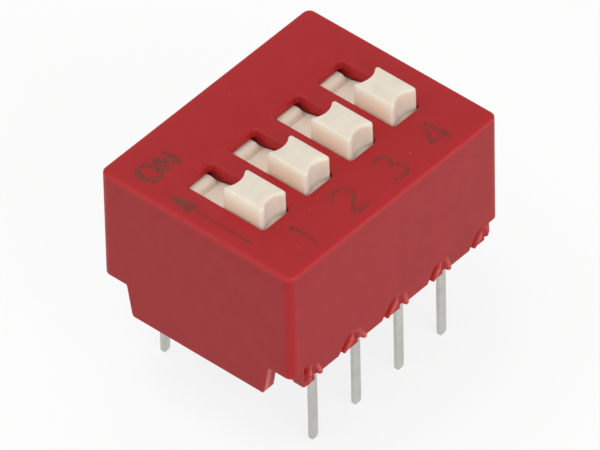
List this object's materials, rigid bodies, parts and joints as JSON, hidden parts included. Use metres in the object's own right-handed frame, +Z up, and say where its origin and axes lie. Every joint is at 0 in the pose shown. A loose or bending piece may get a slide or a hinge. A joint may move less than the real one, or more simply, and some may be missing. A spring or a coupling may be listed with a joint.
{
  "type": "dip switch",
  "caption": "Raised-slide DIP switch for through-hole mounting: a moulded cover with windows, off-white slides in a row, and flat terminals below.",
  "frame": {"origin": "middle of the footprint at the tips of the terminals, the plane the part stands on", "axes": "+X along the row from switch 1 to the last switch, +Y the way the slides travel to ON, +Z up"},
  "size_m": [0.0122, 0.0096, 0.0114],
  "materials": {
    "red_cover": "satin moulded red thermoplastic",
    "red_base": "moulded red thermoplastic",
    "resin": "poured dark potting resin",
    "white_slide": "moulded off-white thermoplastic",
    "gold_wiper": "gold-plated spring copper alloy",
    "tin_terminal": "satin tin plate on copper alloy",
    "print_ink": "thin dark printing ink on the cover"
  },
  "bodies": {
    "housing": {"cover": "red_cover", "base": "red_base", "bottom_seal": "resin", "terminal_1": "tin_terminal", "terminal_2": "tin_terminal", "terminal_3": "tin_terminal", "terminal_4": "tin_terminal", "terminal_5": "tin_terminal", "terminal_6": "tin_terminal", "terminal_7": "tin_terminal", "terminal_8": "tin_terminal"},
    "slider_1": {"slide_1": "white_slide", "wiper_1": "gold_wiper"},
    "slider_2": {"slide_2": "white_slide", "wiper_2": "gold_wiper"},
    "slider_3": {"slide_3": "white_slide", "wiper_3": "gold_wiper"},
    "slider_4": {"slide_4": "white_slide", "wiper_4": "gold_wiper"}
  },
  "joints": [
    {"name": "switch_1", "type": "slide", "parent": "housing", "child": "slider_1", "axis": [0, 1, 0], "range_m": [0, 0.00185]},
    {"name": "switch_2", "type": "slide", "parent": "housing", "child": "slider_2", "axis": [0, 1, 0], "range_m": [0, 0.00185]},
    {"name": "switch_3", "type": "slide", "parent": "housing", "child": "slider_3", "axis": [0, 1, 0], "range_m": [0, 0.00185]},
    {"name": "switch_4", "type": "slide", "parent": "housing", "child": "slider_4", "axis": [0, 1, 0], "range_m": [0, 0.00185]}
  ]
}
